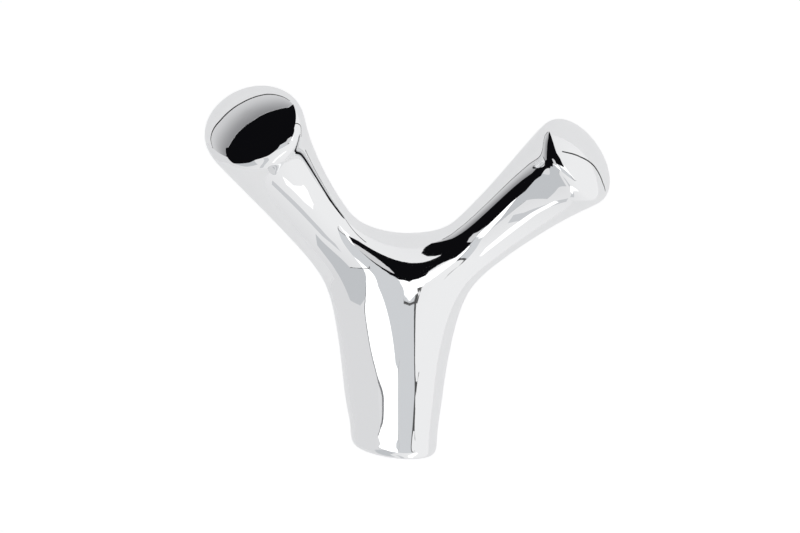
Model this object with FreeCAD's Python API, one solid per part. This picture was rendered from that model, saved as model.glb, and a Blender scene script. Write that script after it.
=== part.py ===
"""Double robe hook: one zinc die casting, a short stem that forks into two arms with domed ends.

The stem springs from the wall, sinks a little and forks.  The arms spread sideways and turn up at
their ends, so that a robe's loop stays on.  Frame, in millimetres: the origin is the centre of the
face that lies on the wall, the wall is the plane y = 0, the hook reaches out along -Y, and +Z is up.
The hook is the same on both sides of the plane x = 0.

Stem, arms and fork are one net of control points.  Eight points go round the stem and round each
arm, and the fork's own points join the three nets, so that the skin flows from one into the next.
"""
import FreeCAD, Part
import Surface
import math
import os

# Stem: from the face on the wall to the fork
stem_radius_at_wall = 8.7
stem_slope_at_wall = 25.0      # degrees below level
stem_slope_at_fork = 17.5      # degrees below level
stem_length = 30.4             # from the wall to the point where the arms' centre lines meet
stem_collar_at = 16.0          # along the stem, from the wall to its last round section
stem_collar_radius = 10.5
wall_edge_radius = 2.0         # rounding of the edge that lies on the wall

# Arms: from the fork to the domed ends
arm_spread = 65.0              # degrees between the stem's line and each arm, at the fork
arm_start_pull = 10.4          # how far the arm holds its first direction
arm_collar_at = 17.0           # along the arm, from the fork to its first round section
arm_neck_radius = 6.1
arm_end_pull = 16.0            # how far the arm holds its last direction
arm_end_flare = 11.5           # degrees by which the arm still widens where its rounded rim begins
arm_end_turn = 27.0            # degrees sideways at the end
arm_end_rise = 48.0            # degrees above level at the end
arm_end_radius = 10.0          # where the rounded rim begins
arm_reach = 62.9               # from the wall to the crown of the end
arm_half_span = 35.5           # from the plane of symmetry to the crown of the end
arm_end_height = -3.9          # crown of the end above the middle of the wall face
end_dome_radius = 18.0
end_rim_radius = 2.6           # rounding between the arm and its dome

# Fork: control points of its skin, measured from the point where the arms' centre lines meet
fork_half_width = 15.0         # out to each flank
fork_crown_height = 9.8        # up to the crown
fork_belly_depth = 8.0         # down to the belly
fork_belly_ahead = 5.5         # from the meeting point out to the belly
crotch_ahead = 13.0            # out to the crotch between the arms
flank_rise = 1.1               # flanks and crotch above the meeting point
shoulder_width = 0.67          # shoulders, as a share of the half width
shoulder_height = 0.76         # shoulders, as a share of the crown's height and the belly's depth
crotch_brow = 0.72             # upper edge of the crotch, as a share of crotch_ahead
crotch_lip = 0.6               # lower edge of the crotch, as a share of the belly's depth

# Fixing: a blind hole for a hanger bolt, square to the wall
stud_hole_radius = 2.5         # tapping size for M6
stud_hole_depth = 10.0
drill_point_angle = 118.0

# Control net
points_round = 8
points_across_face = 5
arm_ring_count = 7
rim_ring_count = 3
dome_ring_count = 2
sewing_gap = 0.01

lateral = FreeCAD.Vector(1, 0, 0)
upright = FreeCAD.Vector(0, 0, 1)
step_round = 2 * math.pi / points_round
# A closed cubic net runs inside its control points by this share
swell = 3 / (2 + math.cos(step_round))


def out_from_wall(rise):
    """A direction in the plane of symmetry, away from the wall and so many degrees above level."""
    a = math.radians(rise)
    return FreeCAD.Vector(0, -math.cos(a), math.sin(a))


def turned(direction, angle):
    """A direction of the plane of symmetry, turned sideways towards +X."""
    a = math.radians(angle)
    return lateral * math.sin(a) + direction * math.cos(a)


def mirror_point(v):
    return FreeCAD.Vector(-v.x, v.y, v.z)


def mirrored(shape):
    return shape.mirror(FreeCAD.Vector(), lateral)


def bezier(poles):
    curve = Part.BezierCurve()
    curve.setPoles(poles)
    return curve


def evenly(start, end, count):
    return [start + (end - start) * i / (count - 1) for i in range(count)]


def ring(centre, along, radius):
    """Control points round a section, from its level side over its upper side."""
    side = upright.cross(along).normalize()
    upper = along.cross(side)
    points = []
    for k in range(points_round):
        out = side * math.cos(k * step_round) + upper * math.sin(k * step_round)
        points.append(centre + out * (radius * swell))
    return points


def ring_on(spine, length, radius):
    t = spine.parameterAtDistance(length, spine.FirstParameter)
    return ring(spine.value(t), FreeCAD.Vector(*spine.tangent(t)[0]), radius)


def net_face(rows):
    """The smooth face inside a net of control points; the outermost points only steer it."""
    degree = 3
    knots = [list(range(count + degree + 1)) for count in (len(rows), len(rows[0]))]
    surface = Part.BSplineSurface()
    surface.buildFromPolesMultsKnots(rows, [1] * len(knots[0]), [1] * len(knots[1]), knots[0], knots[1],
                                     False, False, degree, degree)
    surface.segment(degree, len(rows), degree, len(rows[0]))
    return surface.toShape()


def tube_faces(rings):
    """Four faces round a tube: upper, one side, lower, other side."""
    faces = []
    for first in range(0, points_round, 2):
        columns = [(first + k) % points_round for k in range(points_across_face)]
        faces.append(net_face([[points[k] for k in columns] for points in rings]))
    return faces


def border(face, row=0.5, column=0.5):
    """A face with the number of its edge on the first (0) or last (1) row or column of its net."""
    u_first, u_last, v_first, v_last = face.ParameterRange
    middle = face.Surface.value(u_first + (u_last - u_first) * row, v_first + (v_last - v_first) * column)
    misfits = [edge.distToShape(Part.Vertex(middle))[0] for edge in face.Edges]
    return face, misfits.index(min(misfits)) + 1


def tangent_patch(borders):
    """A smooth face inside a ring of edges, tangent at each to the face that it belongs to."""
    document = FreeCAD.newDocument("fork")
    patch = document.addObject("Surface::Filling", "patch")
    links = []
    for face, number in borders:
        support = document.addObject("Part::Feature", "support")
        support.Shape = face
        links.append((support, (f"Edge{number}",)))
    patch.BoundaryEdges = links
    patch.BoundaryFaces = ["Face1"] * len(borders)
    patch.BoundaryOrder = [1] * len(borders)
    patch.PointsOnCurve = 20
    patch.Iterations = 3
    patch.MaximumSegments = 12
    document.recompute()
    shape = patch.Shape.Faces[0].copy()
    FreeCAD.closeDocument(document.Name)
    return shape


# Centre lines
at_wall = out_from_wall(-stem_slope_at_wall)
at_fork = out_from_wall(-stem_slope_at_fork)
fork = (at_wall + at_fork) * (stem_length / 2)
stem_third = stem_length / 3
stem_spine = bezier([FreeCAD.Vector(), at_wall * stem_third, fork - at_fork * stem_third, fork])
end_direction = turned(out_from_wall(arm_end_rise), arm_end_turn)
end_crown = FreeCAD.Vector(arm_half_span, -arm_reach, arm_end_height)
arm_spine = bezier([fork, fork + turned(at_fork, arm_spread) * arm_start_pull,
                    end_crown - end_direction * arm_end_pull,
                    end_crown - end_direction * (arm_end_pull / 2), end_crown])


def wall_ring(depth, inset):
    """Control points of the stem in a plane before the wall, drawn in towards the stem's centre line."""
    points = []
    for point in ring(FreeCAD.Vector(), at_wall, stem_radius_at_wall - inset):
        points.append(point - at_wall * ((point.y + depth) / at_wall.y))
    return points


# Stem rings: the first five round the edge at the wall, depth and inset being shares of its radius.
# Two of them lie behind the wall, which cuts the stem flat
stem_rings = []
for depth, inset in ((-0.25, 1.6), (-0.08, 0.85), (0.15, 0.25), (0.6, 0.0), (2.0, 0.0)):
    stem_rings.append(wall_ring(wall_edge_radius * depth, wall_edge_radius * inset))
for length in (stem_collar_at / 2, stem_collar_at):
    widening = (stem_collar_radius - stem_radius_at_wall) * length / stem_collar_at
    stem_rings.append(ring_on(stem_spine, length, stem_radius_at_wall + widening))

# End of the arm, along and out from its axis: a rounded rim that runs into the dome
flare = math.radians(arm_end_flare)
rim_centre_along = end_rim_radius * math.sin(flare)
rim_centre_out = arm_end_radius - end_rim_radius * math.cos(flare)
dome_turn = math.asin(rim_centre_out / (end_dome_radius - end_rim_radius))
dome_centre_along = rim_centre_along - (end_dome_radius - end_rim_radius) * math.cos(dome_turn)
end_height = dome_centre_along + end_dome_radius
rim_centre = end_crown - end_direction * end_height

# Arm rings: slim at the collar, and widening at the rim by the flare
arm_tube_end = arm_spine.length() - end_height
tube_length = arm_tube_end - arm_collar_at
arm_rings = []
for length in evenly(arm_collar_at, arm_tube_end, arm_ring_count)[:-1]:
    share = (length - arm_collar_at) / tube_length
    ease = share * share * (3 - 2 * share)
    slope = share * share * (share - 1) * tube_length * math.tan(flare)
    radius = arm_neck_radius + (arm_end_radius - arm_neck_radius) * ease + slope
    arm_rings.append(ring_on(arm_spine, length, radius))

# Rim and dome, along and out from the end's axis; turns are measured from that axis.  The last ring
# mirrors the one before the crown, so that the dome closes smoothly on it
end_profile = []
for turn in evenly(math.pi / 2 + flare, dome_turn, rim_ring_count):
    end_profile.append((rim_centre_along + end_rim_radius * math.cos(turn),
                        rim_centre_out + end_rim_radius * math.sin(turn)))
for turn in evenly(dome_turn, -dome_turn / dome_ring_count, dome_ring_count + 2)[1:]:
    end_profile.append((dome_centre_along + end_dome_radius * math.cos(turn),
                        end_dome_radius * math.sin(turn)))
for along, radius in end_profile:
    arm_rings.append(ring(rim_centre + end_direction * along, end_direction, radius))

# Fork: its own control points, the right flank's, the crotch's and those on the plane of symmetry
above_fork = at_fork.cross(lateral)


def fork_point(out, ahead, above):
    return fork + lateral * out + at_fork * ahead + above_fork * above


crown = fork_point(0, 0, fork_crown_height)
belly = fork_point(0, fork_belly_ahead, -fork_belly_depth)
flank = [crown,
         fork_point(fork_half_width * shoulder_width, 0, fork_crown_height * shoulder_height),
         fork_point(fork_half_width, 0, flank_rise),
         fork_point(fork_half_width * shoulder_width, fork_belly_ahead / 2,
                    -fork_belly_depth * shoulder_height),
         belly]
crotch = [crown,
          fork_point(0, crotch_ahead * crotch_brow, fork_crown_height * shoulder_height),
          fork_point(0, crotch_ahead, flank_rise),
          fork_point(0, crotch_ahead, -fork_belly_depth * crotch_lip),
          belly]
other_flank = [mirror_point(p) for p in flank]

# Rings of the fork's points, in the order of the stem's and of the arm's rings
stem_rings.append([flank[2], flank[1], crown, other_flank[1],
                   other_flank[2], other_flank[3], belly, flank[3]])
arm_rings.insert(0, [flank[2], flank[1], crown, crotch[1], crotch[2], crotch[3], belly, flank[3]])

# Faces of the stem, of the arms and, past the first ring of the rim, of the arms' ends
stem = tube_faces(stem_rings)
rim_start = len(arm_rings) - len(end_profile)
arm = tube_faces(arm_rings[:rim_start + 2])
arm_end = tube_faces(arm_rings[rim_start - 1:])
other_arm = [mirrored(face) for face in arm]
other_end = [mirrored(face) for face in arm_end]

# Net columns of the flank and the crotch, from the crown round to the belly
flank_columns = [2, 1, 0, 7, 6]
crotch_columns = [2, 3, 4, 5, 6]


def columns_of(points, columns):
    return [points[k] for k in columns]


from_stem = [columns_of(stem_rings[i], flank_columns) for i in (-3, -2)]
to_arm = [columns_of(arm_rings[i], flank_columns) for i in (1, 2)]
flank_face = net_face(from_stem + [flank] + to_arm)
other_flank_face = mirrored(flank_face)
inner = [columns_of(arm_rings[i], crotch_columns) for i in (2, 1)]
other_inner = [[mirror_point(p) for p in row] for row in reversed(inner)]
crotch_face = net_face(inner + [crotch] + other_inner)

faces = stem + arm + arm_end + other_arm + other_end + [flank_face, other_flank_face, crotch_face]

# Upper and lower patch of the fork, inside the edges of the stem, the arms, the flanks and the crotch
upper, lower = 0, 2
for half, column in ((upper, 0), (lower, 1)):
    faces.append(tangent_patch([border(stem[half], row=1), border(flank_face, column=column),
                                border(arm[half], row=0), border(crotch_face, column=column),
                                border(other_arm[half], row=0), border(other_flank_face, column=column)]))

# The stem's back end is closed behind the wall
back_edges = [face.Edges[border(face, row=0)[1] - 1] for face in stem]
faces.append(Part.Face(Part.Wire(Part.sortEdges(back_edges)[0])))

skin = Part.Compound(faces)
skin.sewShape(sewing_gap)
hook = Part.makeSolid(skin.Shells[0])

# The wall cuts the stem flat
room = 4 * stem_radius_at_wall
hook = hook.cut(Part.makeBox(2 * room, room, 2 * room, FreeCAD.Vector(-room, 0, -room)))

# Blind hole for the hanger bolt, with the drill's point at its bottom
into_stem = FreeCAD.Vector(0, -1, 0)
point_height = stud_hole_radius / math.tan(math.radians(drill_point_angle / 2))
drill = Part.makeCylinder(stud_hole_radius, stud_hole_depth, FreeCAD.Vector(), into_stem)
drill_point = Part.makeCone(stud_hole_radius, 0, point_height, into_stem * stud_hole_depth, into_stem)
hook = hook.cut(drill.fuse(drill_point)).Solids[0]

os.makedirs("parts", exist_ok=True)
hook.exportStep("parts/hook_body.step")
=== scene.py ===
"""Chrome double robe hook in a white studio, seen from above with its wall end towards the viewer."""
import math
import bmesh
import bpy
from mathutils import Matrix, Vector


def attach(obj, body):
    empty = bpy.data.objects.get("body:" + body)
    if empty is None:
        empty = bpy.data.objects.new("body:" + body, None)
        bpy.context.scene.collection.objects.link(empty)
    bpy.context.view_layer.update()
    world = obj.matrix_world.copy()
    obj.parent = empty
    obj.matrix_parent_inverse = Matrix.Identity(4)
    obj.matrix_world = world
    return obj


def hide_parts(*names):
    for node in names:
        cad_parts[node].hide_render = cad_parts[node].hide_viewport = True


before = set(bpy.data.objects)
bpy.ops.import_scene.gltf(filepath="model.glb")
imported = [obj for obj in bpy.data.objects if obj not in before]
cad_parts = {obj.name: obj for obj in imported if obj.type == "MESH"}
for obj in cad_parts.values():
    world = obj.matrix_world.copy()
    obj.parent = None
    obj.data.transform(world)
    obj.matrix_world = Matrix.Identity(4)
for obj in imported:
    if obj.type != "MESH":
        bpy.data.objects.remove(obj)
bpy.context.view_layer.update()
scene = bpy.context.scene
scene.view_settings.view_transform = "Standard"

# Polished chrome: a clear, very slightly blue mirror. Buffing leaves it a touch softer in broad patches,
# and a fine orange peel keeps the mirrored edges from being drawn with a ruler.
chrome = bpy.data.materials.new("polished_chrome")
chrome.use_nodes = True
nodes = chrome.node_tree.nodes
links = chrome.node_tree.links
plate = nodes["Principled BSDF"]
plate.inputs["Base Color"].default_value = (0.86, 0.865, 0.87, 1)
plate.inputs["Metallic"].default_value = 1.0
place_on_hook = nodes.new("ShaderNodeTexCoord")
buffing = nodes.new("ShaderNodeTexNoise")
buffing.inputs["Scale"].default_value = 90.0
buffing.inputs["Detail"].default_value = 2.0
softness = nodes.new("ShaderNodeMapRange")
softness.inputs["To Min"].default_value = 0.012
softness.inputs["To Max"].default_value = 0.035
links.new(place_on_hook.outputs["Object"], buffing.inputs["Vector"])
links.new(buffing.outputs["Fac"], softness.inputs["Value"])
links.new(softness.outputs["Result"], plate.inputs["Roughness"])
peel = nodes.new("ShaderNodeTexNoise")
peel.inputs["Scale"].default_value = 160.0
peel.inputs["Detail"].default_value = 1.0
relief = nodes.new("ShaderNodeBump")
relief.inputs["Strength"].default_value = 0.25
relief.inputs["Distance"].default_value = 0.00003
links.new(place_on_hook.outputs["Object"], peel.inputs["Vector"])
links.new(peel.outputs["Fac"], relief.inputs["Height"])
links.new(relief.outputs["Normal"], plate.inputs["Normal"])

# Hook: the casting as a net of eight points round the stem and each arm, made smooth by subdivision.
# The half on the +X side is built in millimetres from round sections, then mirrored. Smoothing draws
# a section in, so each one starts larger by the swell.
net = bmesh.new()
points_round = 8
swell = 3 / (2 + math.cos(2 * math.pi / points_round))


def ring(centre, along, radius):
    """A round section of the net; its points run from the level side over the upper side."""
    side = Vector((0, 0, 1)).cross(along).normalized()
    upper = along.cross(side)
    turn = Matrix((side, upper, along)).transposed().to_4x4()
    circle = bmesh.ops.create_circle(net, segments=points_round, radius=radius * swell,
                                     matrix=Matrix.Translation(centre) @ turn)
    return sorted(circle["verts"], key=lambda v: math.atan2((v.co - centre).dot(upper) + 1e-6,
                                                            (v.co - centre).dot(side)) % (2 * math.pi))


def loop_edges(verts):
    """The edges that run round one section."""
    return [edge for edge in {e for v in verts for e in v.link_edges} if all(v in verts for v in edge.verts)]


def tube(rings):
    """A skin over sections in a row."""
    for first, second in zip(rings, rings[1:]):
        bmesh.ops.bridge_loops(net, edges=loop_edges(first) + loop_edges(second))


def out_from_wall(rise):
    """Direction away from the wall, with its rise in degrees."""
    return Vector((0, -math.cos(math.radians(rise)), math.sin(math.radians(rise))))


def turned(direction, angle):
    """A direction swung towards +X by an angle in degrees."""
    return Vector((math.sin(math.radians(angle)), 0, 0)) + direction * math.cos(math.radians(angle))


def along_curve(poles, share):
    """Point and direction on a curve drawn by its poles."""
    points = list(poles)
    while len(points) > 2:
        points = [a.lerp(b, share) for a, b in zip(points, points[1:])]
    return points[0].lerp(points[1], share), (points[1] - points[0]).normalized()


def at_length(poles, length, steps=600):
    """Point and direction on a curve at a length from its start."""
    run = 0.0
    for step in range(steps):
        run += (along_curve(poles, (step + 1) / steps)[0] - along_curve(poles, step / steps)[0]).length
        if run >= length:
            break
    return along_curve(poles, (step + 1) / steps)


# Stem: round, leaning down from the wall and widening to a collar before the fork.
# The first sections lie on the wall or a little off it and round the edge there.
stem_radius, collar_radius, collar_at, stem_length = 8.7, 10.5, 16.0, 30.4
at_wall = out_from_wall(-25.2)
at_fork = out_from_wall(-17.4)
fork = (at_wall + at_fork) * (stem_length / 2)
stem_line = [Vector(), at_wall * (stem_length / 3), fork - at_fork * (stem_length / 3), fork]
stem = []
wall_edge = ((0.0, 3.4), (0.0, 1.9), (0.0, 1.0), (0.35, 0.4), (1.4, 0.05), (4.0, 0.0))
for depth, inset in wall_edge:
    section = ring(Vector(), at_wall, stem_radius - inset)
    for v in section:
        v.co -= at_wall * ((v.co.y + depth) / at_wall.y)
    stem.append(section)
for length in (collar_at / 2 + 1, collar_at):
    centre, direction = at_length(stem_line, length)
    stem.append(ring(centre, direction, stem_radius + (collar_radius - stem_radius) * length / collar_at))

# Hole for the hanger bolt: blind, with a countersunk mouth and a drilled point at its bottom.
hole_radius = 3.05
hole_sections = ((0.3, 3.7), (0.8, 3.15), (1.2, hole_radius), (9.6, hole_radius), (10.0, 2.9), (11.4, 0.5))
hole = []
for depth, radius in hole_sections:
    hole.append(ring(Vector((0, -depth, 0)), Vector((0, -1, 0)), radius))
tube(list(reversed(hole)) + stem)
net.faces.new(hole[-1])
bmesh.ops.bisect_plane(net, geom=net.verts[:] + net.edges[:] + net.faces[:], dist=0.001,
                       plane_co=(0, 0, 0), plane_no=(1, 0, 0), clear_inner=True)
collar = sorted((v for v in stem[-1] if v.is_valid), key=lambda v: v.co.z)

# Arm: from the fork out, forward and up, narrow at its neck and flared to its end.
# A small round rim leads into a shallow dome.
neck_radius, end_radius, arm_at, flare = 6.1, 10.0, 17.0, math.radians(11.5)
dome_radius, rim_radius = 18.0, 2.6
end_direction = turned(out_from_wall(48.0), 27.0).normalized()
crown = Vector((35.5, -62.9, -3.9))
end_pull = 16.0
arm_line = [fork, fork + turned(at_fork, 65.0) * 10.4, crown - end_direction * end_pull,
            crown - end_direction * (end_pull / 2), crown]
rim_along = rim_radius * math.sin(flare)
rim_out = end_radius - rim_radius * math.cos(flare)
dome_turn = math.asin(rim_out / (dome_radius - rim_radius))
dome_along = rim_along - (dome_radius - rim_radius) * math.cos(dome_turn)
rim_centre = crown - end_direction * (dome_along + dome_radius)
arm_steps = 400
arm_points = [along_curve(arm_line, step / arm_steps)[0] for step in range(arm_steps + 1)]
arm_length = sum((after - before).length for before, after in zip(arm_points, arm_points[1:]))
tube_length = arm_length - dome_along - dome_radius - arm_at
arm = []
arm_sections = 6
for number in range(arm_sections):
    share = number / arm_sections
    ease = share * share * (3 - 2 * share)
    slope = share * share * (share - 1) * tube_length * math.tan(flare)
    centre, direction = at_length(arm_line, arm_at + share * tube_length)
    arm.append(ring(centre, direction, neck_radius + (end_radius - neck_radius) * ease + slope))
for share in (0.0, 0.5, 1.0):
    angle = (math.pi / 2 + flare) * (1 - share) + dome_turn * share
    arm.append(ring(rim_centre + end_direction * (rim_along + rim_radius * math.cos(angle)), end_direction,
                    rim_out + rim_radius * math.sin(angle)))
for share in (0.75, 0.5, 0.28, 0.1):
    angle = dome_turn * share
    arm.append(ring(rim_centre + end_direction * (dome_along + dome_radius * math.cos(angle)), end_direction,
                    dome_radius * math.sin(angle)))
tube(arm)
net.faces.new(arm[-1])

# Fork: the faces between the stem's collar and the arm's first section. They hang on two rows of
# points, the flank across the fork and the crotch between the arms, which share the top and the belly.
above_fork = at_fork.cross(Vector((1, 0, 0)))
half_width, crown_height, belly_depth, belly_ahead = 15.0, 10.75, 8.8, 5.5
shoulder_height = 7.8
shoulder_width, shoulder_depth = half_width * 0.68, belly_depth * 0.76
crotch_ahead, rise = 13.8, 1.0
crotch_brow, crotch_lip = crotch_ahead * 0.72, belly_depth * 0.57


def fork_point(out, ahead, above):
    """A point of the net, placed from the middle of the fork."""
    return net.verts.new(fork + Vector((out, 0, 0)) + at_fork * ahead + above_fork * above)


top = fork_point(0, 0, crown_height)
belly = fork_point(0, belly_ahead, -belly_depth)
flank = [top, fork_point(shoulder_width, 0, shoulder_height), fork_point(half_width, 0, rise),
         fork_point(shoulder_width, belly_ahead / 2, -shoulder_depth), belly]
crotch = [top, fork_point(0, crotch_brow, shoulder_height), fork_point(0, crotch_ahead, rise),
          fork_point(0, crotch_ahead, -crotch_lip), belly]
root = arm[0]
outer_root = [root[2], root[1], root[0], root[7], root[6]]
inner_root = [root[2], root[3], root[4], root[5], root[6]]
for near, far in ((list(reversed(collar)), flank), (flank, outer_root), (inner_root, crotch)):
    for k in range(4):
        net.faces.new((near[k], near[k + 1], far[k + 1], far[k]))

# Whole hook: mirrored, turned to metres a hair inside the solid's box, and smoothed.
# The smooth surface is kept as the mesh itself.
bmesh.ops.mirror(net, geom=net.verts[:] + net.edges[:] + net.faces[:], axis="X", merge_dist=0.001)
bmesh.ops.recalc_face_normals(net, faces=net.faces[:])
metre = 0.001
inside_sideways, inside_upward = 0.9995 * metre, 0.998 * metre
bmesh.ops.scale(net, vec=(inside_sideways, inside_sideways, inside_upward), verts=net.verts[:])
hook_mesh = bpy.data.meshes.new("hook")
net.to_mesh(hook_mesh)
net.free()
hook = bpy.data.objects.new("hook", hook_mesh)
scene.collection.objects.link(hook)
hook_mesh.materials.append(chrome)
hook_mesh.shade_smooth()
smooth = hook.modifiers.new("smooth", "SUBSURF")
smooth.levels = 3
smooth.render_levels = 3
bpy.context.view_layer.update()
hook.data = bpy.data.meshes.new_from_object(hook.evaluated_get(bpy.context.evaluated_depsgraph_get()))
hook.modifiers.clear()
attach(hook, "root")
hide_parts("hook_body")

# Thread of the stud hole: a V-shaped ridge of 1 mm pitch wound from the mouth of the hole
# to near its bottom. Its roots lie on the hole's wall and its crests close to the tapping radius.
pitch, turns, steps_in_turn = 1.0, 7, 24
crest_radius, crest_from, crest_to, mouth = 2.55, 0.42, 0.58, 1.3
winding = bmesh.new()
root_near = winding.verts.new((hole_radius, -mouth, 0))
crest_near = winding.verts.new((crest_radius, -mouth - crest_from * pitch, 0))
crest_far = winding.verts.new((crest_radius, -mouth - crest_to * pitch, 0))
root_far = winding.verts.new((hole_radius, -mouth - pitch, 0))
winding.edges.new((root_near, crest_near))
winding.edges.new((crest_near, crest_far))
winding.edges.new((crest_far, root_far))
bmesh.ops.spin(winding, geom=winding.verts[:] + winding.edges[:], cent=(0, 0, 0), axis=(0, 1, 0),
               dvec=(0, -pitch / steps_in_turn, 0), angle=math.radians(360 * turns),
               steps=steps_in_turn * turns, use_merge=False)
bmesh.ops.remove_doubles(winding, verts=winding.verts[:], dist=0.001)
bmesh.ops.recalc_face_normals(winding, faces=winding.faces[:])
bmesh.ops.scale(winding, vec=(metre, metre, metre), verts=winding.verts[:])
thread_mesh = bpy.data.meshes.new("thread")
winding.to_mesh(thread_mesh)
winding.free()
thread_mesh.materials.append(chrome)
thread_mesh.shade_smooth()
thread = bpy.data.objects.new("thread", thread_mesh)
scene.collection.objects.link(thread)
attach(thread, "root")
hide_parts("hook_body")

# Camera: above the hook and a little to one side, with the wall end at the bottom of the picture.
camera_data = bpy.data.cameras.new("camera")
camera = bpy.data.objects.new("camera", camera_data)
scene.collection.objects.link(camera)
camera_data.sensor_width = 36
camera_data.lens = 67.9
camera_data.clip_start = 0.01
place = Vector((0.08775, -0.07375, 0.28145))
aim = Vector((0.00157, -0.0359, -0.00521))
image_up = Vector((0.0756, -0.98535, -0.15286))
back = (place - aim).normalized()
right = image_up.cross(back).normalized()
up = back.cross(right)
camera.matrix_world = Matrix.Translation(place) @ Matrix((right, up, back)).transposed().to_4x4()
scene.camera = camera

# Studio: soft pale light from all round, a little darker on the left of the picture.
world = bpy.data.worlds.new("studio")
scene.world = world
world.use_nodes = True
nodes = world.node_tree.nodes
links = world.node_tree.links
heading = nodes.new("ShaderNodeTexCoord")
sideways = nodes.new("ShaderNodeVectorMath")
sideways.operation = "DOT_PRODUCT"
sideways.inputs[1].default_value = right
links.new(heading.outputs["Generated"], sideways.inputs[0])
from_left = nodes.new("ShaderNodeMapRange")
from_left.inputs["From Min"].default_value = -1.0
from_left.inputs["From Max"].default_value = 0.8
links.new(sideways.outputs["Value"], from_left.inputs["Value"])
tone = nodes.new("ShaderNodeMix")
tone.data_type = "RGBA"
tone.inputs["A"].default_value = (0.78, 0.78, 0.79, 1)
tone.inputs["B"].default_value = (0.97, 0.97, 0.975, 1)
links.new(from_left.outputs["Result"], tone.inputs["Factor"])
links.new(tone.outputs["Result"], nodes["Background"].inputs["Color"])
nodes["Background"].inputs["Strength"].default_value = 1.0

# Cards: glowing papers round the hook that its chrome mirrors. Their corners are given in degrees right of
# and above the camera as seen from the middle of the hook, and their distance from there in metres.
# The camera sees them only mirrored, so they never stand in front of a view.
hook_middle = Vector((0, -0.036, -0.006))
black = (0.004, 0.004, 0.005)
dark_line = (0.10, 0.10, 0.10)


def toward(across, above, distance):
    """A place so many degrees to the right of and above the line from the hook to the camera."""
    angle = math.radians(math.hypot(across, above))
    phi = math.atan2(above, across)
    outward = right * math.cos(phi) + up * math.sin(phi)
    return hook_middle + (back * math.cos(angle) + outward * math.sin(angle)) * distance


def card(name, corners, colour, distance, fade=None):
    """A glowing card; fade gives two places and the colour it has at the second of them."""
    mesh = bpy.data.meshes.new(name)
    shape = bmesh.new()
    shape.faces.new([shape.verts.new(toward(across, above, distance)) for across, above in corners])
    bmesh.ops.triangulate(shape, faces=shape.faces[:])
    shape.to_mesh(mesh)
    shape.free()
    obj = bpy.data.objects.new(name, mesh)
    scene.collection.objects.link(obj)
    paper = bpy.data.materials.new(name)
    paper.use_nodes = True
    nodes = paper.node_tree.nodes
    links = paper.node_tree.links
    nodes.clear()
    glow = nodes.new("ShaderNodeEmission")
    glow.inputs["Color"].default_value = (*colour, 1)
    surface = nodes.new("ShaderNodeOutputMaterial")
    links.new(glow.outputs["Emission"], surface.inputs["Surface"])
    if fade:
        from_place, to_place, last_colour = fade
        start = toward(*from_place, distance)
        end = toward(*to_place, distance)
        slope = (end - start) / (end - start).length_squared
        spot = nodes.new("ShaderNodeTexCoord")
        run = nodes.new("ShaderNodeVectorMath")
        run.operation = "DOT_PRODUCT"
        run.inputs[1].default_value = slope
        links.new(spot.outputs["Object"], run.inputs[0])
        way = nodes.new("ShaderNodeMapRange")
        way.inputs["From Min"].default_value = start.dot(slope)
        way.inputs["From Max"].default_value = end.dot(slope)
        way.interpolation_type = "SMOOTHSTEP"
        links.new(run.outputs["Value"], way.inputs["Value"])
        mix = nodes.new("ShaderNodeMix")
        mix.data_type = "RGBA"
        mix.inputs["A"].default_value = (*colour, 1)
        mix.inputs["B"].default_value = (*last_colour, 1)
        links.new(way.outputs["Result"], mix.inputs["Factor"])
        links.new(mix.outputs["Result"], glow.inputs["Color"])
    mesh.materials.append(paper)
    obj.visible_camera = False


# The dark side of the room, with a pale paper nearer the hook in front of part of it
card("black", [(-62, 8), (-57, 22), (-45, 42), (-30, 56), (-12, 71), (5, 81), (18, 94), (22, 60), (20, 26),
               (5, 23), (-10, 19), (-26, 13.5), (-34, 8)], black, 0.134)
card("black low", [(-62, 4), (-57, 33), (-30, 36), (-8, 32), (-8, 25), (-18, 13), (-34, 11), (-42, 3)],
     black, 0.062)
card("pale fork", [(4, 25), (4, 40), (14, 43), (24, 40), (26, 29)], (0.70, 0.70, 0.71), 0.062)
card("black fork", [(18, 94), (25, 84), (31, 68), (33, 52), (40, 44), (43, 29), (26, 27), (20, 26),
                    (22, 60)], black, 0.134)

# The grey panel beside it, with the line along its far edge
card("grey", [(-62, 8), (-57, 22), (-45, 42), (-30, 56), (-12, 71), (5, 81), (18, 94), (8, 95), (-25, 92),
              (-47, 77), (-65, 57), (-80, 35), (-82, 20)], (0.30, 0.30, 0.31), 0.14,
     fade=((-30, 56), (-52, 74), (0.72, 0.72, 0.73)))
card("arc", [(-82, 20), (-80, 35), (-65, 57), (-47, 77), (-25, 92), (8, 95), (8, 96.5), (-26, 93.5),
             (-48.5, 78), (-66.5, 58), (-81.5, 35.5), (-83.5, 20)], (0.03, 0.03, 0.03), 0.138)

# White papers, two of them with a dark line along their lower edge
card("glint", [(27, 27.5), (43, 29.5), (46, 34), (53, 24), (62, 15), (46, 21.5), (29, 23)],
     (1.4, 1.4, 1.4), 0.136)
card("seam glint", [(27, 22.6), (46, 21), (46, 20.5), (27, 22)], dark_line, 0.135)
card("white low", [(60, -20), (46, -20), (34, -27), (28, -38), (23, -64), (32, -72), (38, -50), (46, -42),
                   (54, -33), (62, -26)], (1.3, 1.3, 1.3), 0.1)
card("white", [(-44, 9.5), (-36, 7.5), (-26, 7), (-18, 6.3), (-8, 4.5), (9, 4.5), (9, 13), (5, 14.5),
               (3, 22), (-13, 18), (-24, 16), (-40, 12)], (1.5, 1.5, 1.5), 0.5)
card("white edge", [(-44, 9.5), (-36, 7.5), (-26, 7), (-18, 6.3), (-8, 4.5), (-9, 3.9), (-18, 5.6),
                    (-26, 6.3), (-36, 6.8), (-44.5, 8.8)], (0.2, 0.2, 0.21), 0.5)

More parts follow.
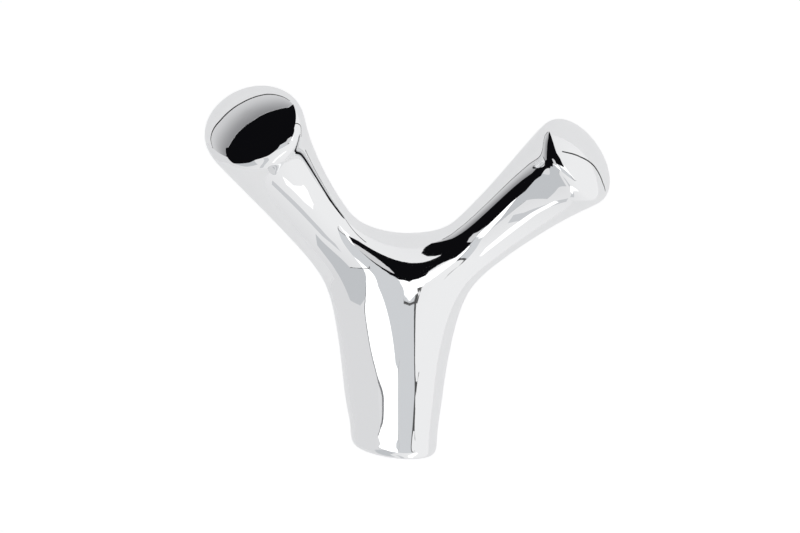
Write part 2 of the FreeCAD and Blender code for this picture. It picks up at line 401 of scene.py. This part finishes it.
# Cool grey and pale papers round the camera, with thin dark lines among them
card("cool right", [(9, 4.5), (9, 13), (5, 14.5), (3, 22), (8, 30), (22, 42), (36, 30), (42, 25), (46, 18),
                    (47.5, 13), (49.5, 8), (52, 3), (30, 3)], (0.70, 0.715, 0.735), 0.5)
card("seam right", [(40.5, 25), (44.8, 18), (46.3, 13), (48.3, 8), (50.5, 4.2), (55, 4), (58, 8), (60, 8),
                    (56.5, 5.6), (52.4, 6.2), (50.3, 8.5), (48.2, 13.5), (46.8, 18.5), (42.5, 26)],
     dark_line, 0.49)
card("cool left", [(-8, 4.3), (4, 5), (-6, -4), (-16, -14), (-12, -30), (-4, -52), (-28, -60), (-50, -40),
                   (-58, -8), (-40, 3), (-26, 6), (-18, 5.5)], (0.60, 0.615, 0.635), 0.5)
card("seam left", [(28, 28), (21, 22), (12, 14), (4, 6), (-6, -4), (-16, -14), (-15.2, -14), (-5.2, -3.5),
                   (4.8, 6.5), (12.8, 14.5), (21.8, 22.5), (28.8, 28.5)], dark_line, 0.49)
card("pale left", [(-40, 3), (-58, -8), (-50, -32), (-70, -40), (-130, -40), (-130, 20), (-70, 12),
                   (-46, 10), (-37, 6.8)], (0.80, 0.80, 0.81), 0.6)
card("cool strip", [(0, -14), (10, -18), (19, -37), (19, -50), (16, -72), (14, -90), (4, -90), (6, -72),
                    (8, -50), (6, -30)], (0.66, 0.67, 0.69), 0.6)
card("seam upper", [(46, 56), (75, 51), (100, 41), (118, 21), (130, 0), (128, 0), (116, 20), (98.5, 39),
                    (74.5, 49), (45.5, 54)], (0.05, 0.05, 0.05), 0.6)

# Floor: pale and wide, well below the hook, and lifted to white where the camera sees it.
floor_width, floor_level = 60, -0.4
bpy.ops.mesh.primitive_plane_add(size=floor_width, location=(0, 0, floor_level))
floor = bpy.context.object
floor.name = "floor"
paint = bpy.data.materials.new("floor_paint")
paint.use_nodes = True
nodes = paint.node_tree.nodes
links = paint.node_tree.links
coat = nodes["Principled BSDF"]
coat.inputs["Base Color"].default_value = (0.95, 0.95, 0.95, 1)
coat.inputs["Emission Color"].default_value = (1, 1, 1, 1)
seen = nodes.new("ShaderNodeLightPath")
lift = nodes.new("ShaderNodeMath")
lift.operation = "MULTIPLY"
lift.inputs[1].default_value = 0.2
links.new(seen.outputs["Is Camera Ray"], lift.inputs[0])
links.new(lift.outputs["Value"], coat.inputs["Emission Strength"])
floor.data.materials.append(paint)

bpy.context.view_layer.update()
